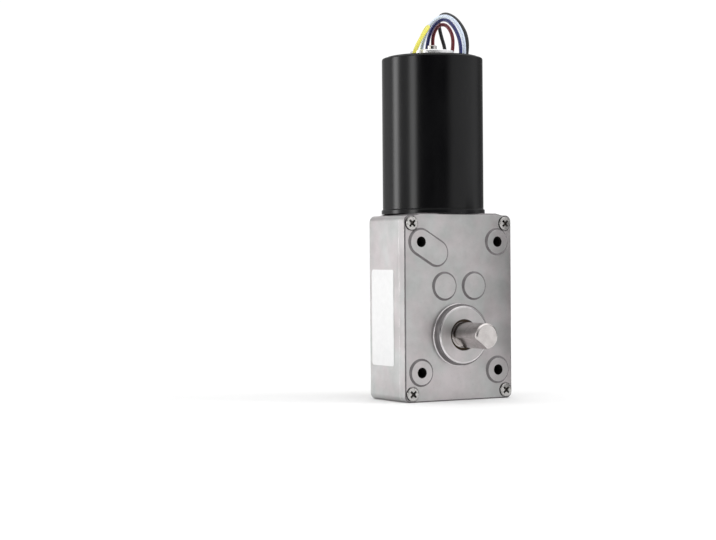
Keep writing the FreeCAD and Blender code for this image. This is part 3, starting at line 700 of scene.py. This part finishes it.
def ground_steel():
    """Bright grey, a little cloudy, with fine rings from the grinding wheel round the shaft."""
    finish = Finish("ground_steel", Metallic=1.0)
    ring = finish.noise(2600.0, detail=2.0, vector=finish.stretched((0.05, 1.0, 0.05)))
    cloud = finish.noise(300.0)
    return finish.wire(
        Base_Color=finish.ramp(cloud, (0.35, (0.5, 0.47, 0.46)), (0.7, (0.62, 0.59, 0.58))),
        Roughness=0.22 + 0.06 * ring,
        Normal=finish.bump(ring, 0.0015 * MM, 0.2),
    )


flat_halves = [math.acos(flat_distance / (radius * MM)) for radius in (shaft_radius, shaft_end_radius)]
flat_edges = [flat_bearing + side * half for side in (-1, 1) for half in flat_halves]
shaft_angles = np.sort(np.concatenate([full_circle(shaft_columns), np.mod(flat_edges, 2 * np.pi)]))
origin = (0.0, 0.0, 0.0)
steel = ground_steel()
exposed = turned(eased(shaft_profile), origin, "y", shaft_angles, (flat_distance, flat_bearing))
journal = turned(eased(journal_profile), origin, "y", shaft_angles)
output_shaft = surface("output_shaft_ground", [np.concatenate([exposed, journal])], steel)
stand_for(output_shaft, "output_shaft", "output")

# Cover screws. Nickel-plated pan-head machine screws with a pressed cross, one in each corner, in recesses
# that leave a dark ring round their heads.
screw_places = [(x, z) for x in (-17.4, 17.4) for z in (-18.0, 34.8)]
screw_columns = 96
head_front = 2.05
head_dome = 0.1
head_crisp_angle = 40.0
head_face_radius = 1.7
head_rows = 40
head_edge_profile = [
    (head_face_radius, head_front + head_dome, 0.0),
    (2.1, head_front + head_dome, 0.3),
    (2.1, 3.45, 0.05),
    (1.2, 3.45, 0.0),
    (1.2, 14.45, 0.3),
    (0.0, 14.45, 0.0),
]
cross_half_length = 1.35
cross_half_width = 0.36
cross_depth = 0.85
cross_wall = 0.14
cross_tip_rise = 0.35
centre_pit_radius = 0.65
centre_pit_wall = 0.2
# Depths behind the head's front over which the cross darkens into painted shade.
cross_shade_depths = (0.22, 0.5)


def nickel_plate():
    """Bright plating, slightly cloudy, darkened down in the cross by painted shade."""
    finish = Finish("nickel_plate", Metallic=0.9)
    cloud = finish.noise(1600.0)
    depth = finish.node("ShaderNodeSeparateXYZ", None, {0: finish.place()}, output=1)
    # Deeper in the cross the colour turns dark: painted shade.
    shade_from, shade_by = [(head_front + below) * MM for below in cross_shade_depths]
    cross_shade_share = finish.node("ShaderNodeMapRange", None, {0: depth, 1: shade_from, 2: shade_by})
    bright = finish.ramp(cloud, (0.35, (0.43, 0.42, 0.41)), (0.7, (0.58, 0.565, 0.55)))
    return finish.wire(
        Base_Color=finish.mix(cross_shade_share, bright, (0.05, 0.045, 0.04, 1.0)),
        Roughness=0.16 + 0.2 * cloud,
    )


def cross_recess(radius, angles):
    """How deep the driver's cross is, in millimetres, over the screw's face.

    Across and along an arm, turned 45 degrees, each side falls off over the width of the recess's wall;
    an arm is where both are inside. The cross is the deepest of the two arms and a round pit in the
    middle, and its floor rises towards the tips.
    """
    along = radius * np.cos(angles + np.pi / 4)
    across = radius * np.sin(angles + np.pi / 4)
    arms = []
    for first, second in ((along, across), (across, along)):
        inside_length = np.clip((cross_half_length - np.abs(first)) / cross_wall, 0.0, 1.0)
        inside_width = np.clip((cross_half_width - np.abs(second)) / cross_wall, 0.0, 1.0)
        arms.append(inside_length * inside_width)
    pit = np.clip((centre_pit_radius - radius) / centre_pit_wall, 0.0, 1.0)
    floor_rise = 1.0 - cross_tip_rise * np.clip(radius / cross_half_length, 0.0, 1.0)
    return cross_depth * floor_rise * np.maximum(np.maximum(*arms), pit)


def pan_head(centre_x, centre_z):
    """A screw's domed face, its height worked out over radius and angle, then its edge and shank turned.

    The face falls back from its middle by the dome's height times the square of the share of its radius,
    and by the depth of the cross.
    """
    angles = full_circle(screw_columns)
    radius = np.linspace(0.0, head_face_radius, head_rows)[:, None]
    dome = head_dome * (radius / head_face_radius) ** 2
    height = head_front + dome + cross_recess(radius, angles)
    spread = np.broadcast_to(radius, height.shape)
    across = centre_x + spread * np.cos(angles)
    up = centre_z + spread * np.sin(angles)
    face = np.stack([across, height, up], axis=-1) * MM
    centre = (centre_x * MM, 0.0, centre_z * MM)
    return [face, turned(eased(head_edge_profile), centre, "y", angles)]


plate = nickel_plate()
head_grids = [grid for place in screw_places for grid in pan_head(*place)]
screws = surface("cover_screws_plated", head_grids, plate, sharp=head_crisp_angle)
stand_for(screws, "cover_screws", "root")

# Motor can and its two caps. The can is a deep-drawn steel tube with a rolled upper rim; the front cap
# shows as a ring under it, and the rear cap closes its end. All are stoved with black semi-gloss enamel.
motor_centre = (0.0, 17.35 * MM, 0.0)
motor_columns = 144
can_profile = [
    (15.3, 39.4, 0.0),
    (16.1, 39.4, 0.15),
    (16.1, 87.7, 0.6),
    (15.3, 87.7, 0.1),
]
front_cap_profile = [
    (1.9, 35.6, 0.0),
    (5.0, 35.6, 0.2),
    (5.0, 38.0, 0.0),
    (16.5, 38.0, 0.1),
    (16.5, 39.4, 0.3),
    (15.3, 39.4, 0.0),
    (15.3, 42.4, 0.1),
    (4.0, 42.4, 0.0),
    (4.0, 38.6, 0.0),
    (1.9, 38.6, 0.0),
]


def black_enamel():
    """Near black, its gloss slightly wavy along the can, over a faint orange peel."""
    finish = Finish("black_enamel", Specular_IOR_Level=0.25)
    wave = finish.noise(160.0, detail=2.0, vector=finish.stretched((1.0, 1.0, 0.3)))
    peel = finish.noise(2400.0, detail=2.0)
    return finish.wire(
        Base_Color=finish.ramp(wave, (0.3, (0.002, 0.002, 0.0025)), (0.7, (0.004, 0.004, 0.0045))),
        Roughness=0.18 + 0.08 * wave,
        Normal=finish.bump(peel, 0.006 * MM, 0.12),
    )


def ring(profile):
    """A closed outline carried round the motor's axis."""
    outline = eased(profile)
    return turned(np.concatenate([outline, outline[:1]]), motor_centre, "z", full_circle(motor_columns))


enamel = black_enamel()
can = surface("motor_can_drawn", [ring(can_profile)], enamel)
stand_for(can, "motor_can", "root")
front_cap = surface("motor_front_cap_ring", [ring(front_cap_profile)], enamel)
stand_for(front_cap, "motor_front_cap", "root")
eased_copy("motor_rear_cap", "root", [enamel] * len(zinc_finishes))

# Rear bearing holder and the shaft's tail. A bright turned holder is pressed into the rear cap over the
# bearing, and the end of the motor's steel shaft stands out of its hole.
holder_profile = [
    (4.0, 84.4, 0.0),
    (6.0, 84.4, 0.0),
    (6.0, 88.1, 0.0),
    (7.0, 88.1, 0.1),
    (7.0, 90.1, 0.4),
    (1.9, 90.1, 0.2),
    (1.9, 87.4, 0.0),
    (4.0, 87.4, 0.0),
]


def turned_aluminium():
    """Pale metal with fine rings from the lathe tool."""
    finish = Finish("turned_aluminium", Metallic=0.6)
    tool = finish.noise(5200.0, detail=1.0, vector=finish.stretched((0.1, 0.1, 1.0)))
    return finish.wire(
        Base_Color=finish.ramp(tool, (0.35, (0.86, 0.86, 0.87)), (0.7, (0.94, 0.94, 0.95))),
        Roughness=0.34 + 0.1 * tool,
    )


holder = surface("rear_bearing_holder_turned", [ring(holder_profile)], turned_aluminium())
stand_for(holder, "rear_bearing_holder", "root")

tail_columns = 48
motor_shaft_profile = [
    (0.0, 19.58, 0.0),
    (1.0, 19.58, 0.2),
    (1.0, 31.2, 0.0),
    (1.5, 31.2, 0.1),
    (1.5, 91.9, 0.25),
    (0.0, 91.9, 0.0),
]
tail = surface(
    "motor_shaft_tail",
    [turned(eased(motor_shaft_profile), motor_centre, "z", full_circle(tail_columns))],
    steel,
)
stand_for(tail, "motor_shaft", "rotor")

# Side label. A blank sheet of white plastic film with rounded corners, cut by a die and stuck on the
# housing's left side by its own glue.
label_front_x = -20.15
label_back_x = -20.0
label_middle = (15.75, 5.45)
label_half = (6.55, 15.05)
label_corner = 0.9
label_lip = 0.05
label_columns = 64


def rounded_sheet():
    """A rounded rectangle: each corner's centre, plus the corner's radius times (cos, sin) of the angle."""
    angles = full_circle(label_columns) + np.pi / label_columns
    inward = np.array(label_half) - label_corner
    turns = np.stack([np.cos(angles), np.sin(angles)], axis=-1)
    outline = np.sign(turns) * inward + label_corner * turns
    lip = label_lip / label_half[0]
    rows = [
        (label_front_x, 0.0),
        (label_front_x, 1.0 - lip),
        (label_front_x + label_lip, 1.0),
        (label_back_x, 1.0),
        (label_back_x, 0.0),
    ]
    grid = np.empty((len(rows), label_columns, 3))
    for row, (depth, share) in enumerate(rows):
        grid[row, :, 0] = depth
        grid[row, :, 1:] = np.array(label_middle) + share * outline
    return grid * MM


def label_film():
    """Matt white film, very slightly cloudy."""
    finish = Finish("label_film")
    cloud = finish.noise(500.0)
    return finish.wire(
        Base_Color=finish.ramp(cloud, (0.3, (0.76, 0.76, 0.76)), (0.7, (0.8, 0.8, 0.8))),
        Roughness=0.4 + 0.14 * cloud,
    )


label = surface("side_label_film", [rounded_sheet()], label_film())
stand_for(label, "side_label", "root")

# Works inside the gearbox and the motor, which the closed castings hide: bushes, gears, axles, bearings,
# laminations, magnet, coils, board and washer, each in the finish that such a part has.


def paint(material, *names):
    """Gives CAD nodes their material."""
    for name in names:
        for slot in nodes[name].material_slots:
            slot.material = material


def two_tone(name, roughness, metallic, scale, dark, light, stretch=None):
    """A finish that wanders between a dark and a light colour, its gloss with it."""
    finish = Finish(name, Metallic=metallic)
    cloud = finish.noise(scale, vector=finish.stretched(stretch) if stretch else None)
    return finish.wire(
        Base_Color=finish.ramp(cloud, (0.35, dark), (0.68, light)),
        Roughness=roughness - 0.08 + 0.2 * cloud,
    )


bronze = two_tone("sintered_bronze", 0.45, 1.0, 4200.0, (0.42, 0.27, 0.12), (0.58, 0.4, 0.19))
paint(bronze, "rear_bush", "worm_wheel")
oily_bronze = two_tone("oily_bronze", 0.4, 0.8, 4200.0, (0.03, 0.022, 0.015), (0.07, 0.05, 0.035))
paint(oily_bronze, "front_bush")
hobbed = two_tone(
    "hobbed_steel", 0.35, 1.0, 3000.0, (0.36, 0.35, 0.34), (0.5, 0.49, 0.48), (1.0, 0.1, 1.0)
)
paint(hobbed, "worm", "wheel_pinion", "second_gear", "second_pinion", "third_gear", "third_pinion")
paint(hobbed, "output_gear", "front_motor_bearing", "rear_motor_bearing")
paint(steel, "wheel_axle", "second_axle", "third_axle")
paint(plate, "motor_screws")
laminated = two_tone(
    "stacked_sheet", 0.45, 0.9, 2800.0, (0.16, 0.16, 0.17), (0.34, 0.34, 0.35), (0.02, 0.02, 1.0)
)
paint(laminated, "rotor_core", "stator_core")
ferrite = two_tone("dark_ferrite", 0.6, 0.0, 3000.0, (0.03, 0.03, 0.032), (0.07, 0.07, 0.072))
paint(ferrite, "rotor_magnet")
copper = two_tone(
    "enamelled_copper", 0.3, 1.0, 2400.0, (0.35, 0.1, 0.03), (0.62, 0.24, 0.08), (1.0, 1.0, 0.05)
)
paint(copper, "stator_coils")
solder_mask = two_tone("solder_mask", 0.3, 0.0, 900.0, (0.01, 0.08, 0.03), (0.02, 0.13, 0.05))
paint(solder_mask, "driver_board")
nylon = two_tone("natural_nylon", 0.5, 0.0, 1200.0, (0.62, 0.6, 0.54), (0.74, 0.72, 0.66))
paint(nylon, "thrust_washer")

# Studio. A plain pale floor without an edge in sight, a soft surround that is darker in front of the gear
# motor and brighter overhead and at its sides, a dark card that only reflections see, beside the cover,
# and one broad low light from the right.
floor_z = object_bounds()[0][2]
floor_reach = 0.7
floor_columns = 96
floor_grey = 0.9
rim_angles = full_circle(floor_columns)
floor_points = np.stack(
    [
        floor_reach * np.cos(rim_angles),
        floor_reach * np.sin(rim_angles),
        np.full(floor_columns, floor_z),
    ],
    axis=-1,
)
floor_mesh = bpy.data.meshes.new("studio_floor")
floor_mesh.from_pydata(floor_points.tolist(), [], [tuple(range(floor_columns))])
floor = bpy.data.objects.new("studio_floor", floor_mesh)
bpy.context.scene.collection.objects.link(floor)
paper = Finish("studio_paper", Roughness=0.9, Specular_IOR_Level=0.1)
floor_mesh.materials.append(paper.wire(Base_Color=(floor_grey, floor_grey, floor_grey, 1.0)))

card_left = 36.0 * MM
card_right = 110.0 * MM
card_near = -30.0 * MM
card_top = 42.0 * MM
card_glow = 0.13
card_corners = [
    (card_left, card_near, floor_z),
    (card_right, card_near, floor_z),
    (card_right, card_near, card_top),
    (card_left, card_near, card_top),
]
card_mesh = bpy.data.meshes.new("grey_card")
card_mesh.from_pydata(card_corners, [], [(0, 1, 2, 3)])
card = bpy.data.objects.new("grey_card", card_mesh)
bpy.context.scene.collection.objects.link(card)
felt = Finish("grey_felt", Roughness=1.0, Specular_IOR_Level=0.0, Emission_Strength=card_glow)
card_mesh.materials.append(
    felt.wire(Base_Color=(0.0, 0.0, 0.0, 1.0), Emission_Color=(1.0, 1.0, 1.0, 1.0))
)
card.visible_camera = False
card.visible_diffuse = False
card.visible_shadow = False
card.visible_transmission = False

brightest = 8.0
backdrop = 1.05
overhead = 1.75
surround = [
    (-180, 0.6),
    (-150, 0.35),
    (-138, 0.4),
    (-122, 0.75),
    (-104, 0.75),
    (-99, 7.6),
    (-90, 7.6),
    (-85, 0.7),
    (-57, 0.7),
    (-52, 5.6),
    (-43, 5.6),
    (-38, 0.04),
    (30, 0.04),
    (44, 0.93),
    (80, 0.93),
    (105, 0.8),
    (130, 0.15),
    (150, 0.12),
    (180, 0.6),
]
upper_surround = [
    (-180, 0.9),
    (-120, 0.7),
    (0, 0.5),
    (60, 0.8),
    (180, 0.9),
]
upper_limits = (0.3, 0.42)
overhead_limits = (0.7, 0.85)
full_turn = 360.0

world = bpy.data.worlds.new("studio")
world.use_nodes = True
bpy.context.scene.world = world
bpy.context.scene.view_settings.view_transform = "Standard"
sky = Nodes(world.node_tree)


def grey(level):
    """A grey for the surround, as a share of its brightest part."""
    return (level / brightest,) * 3


toward_camera_side = -Vector((forward.x, forward.y, 0.0)).normalized()
direction = sky.node("ShaderNodeTexCoord", output="Generated")
rightwards, nearwards, upwards = [
    sky.node("ShaderNodeVectorMath", {"operation": "DOT_PRODUCT"}, {0: direction, 1: axis}, output=1)
    for axis in (level_right, toward_camera_side, Vector((0.0, 0.0, 1.0)))
]
bearing = rightwards.math("ARCTAN2", rightwards, nearwards) * (1.0 / math.tau) + 0.5


def ring_of_light(levels):
    """Light by bearing from the camera's side, in degrees rightwards."""
    return sky.ramp(bearing, *[(angle / full_turn + 0.5, grey(level)) for angle, level in levels])


def over(limits):
    """0 below the first height, 1 above the second."""
    return sky.node("ShaderNodeMapRange", None, {0: upwards, 1: limits[0], 2: limits[1]})


lit = sky.mix(over(upper_limits), ring_of_light(surround), ring_of_light(upper_surround))
lit = sky.mix(over(overhead_limits), lit, (*grey(overhead), 1.0))
seen_directly = sky.node("ShaderNodeLightPath")
background = sky.tree.nodes["Background"]
sky.feed(background.inputs["Color"], sky.mix(seen_directly, lit, (*grey(backdrop), 1.0)))
background.inputs["Strength"].default_value = brightest

sun_bearing = math.radians(82.0)
sun_height = math.radians(12.0)
sun_strength = 1.6
sun_spread = math.radians(18.0)
sun_data = bpy.data.lights.new("window_right", "SUN")
sun_data.energy = sun_strength
sun_data.angle = sun_spread
sun = bpy.data.objects.new("window_right", sun_data)
sun_level = toward_camera_side * math.cos(sun_bearing) + level_right * math.sin(sun_bearing)
sun_from = sun_level * math.cos(sun_height) + Vector((0.0, 0.0, math.sin(sun_height)))
sun.matrix_world = sun_from.to_track_quat("Z", "Y").to_matrix().to_4x4()
sun.visible_glossy = False
bpy.context.scene.collection.objects.link(sun)
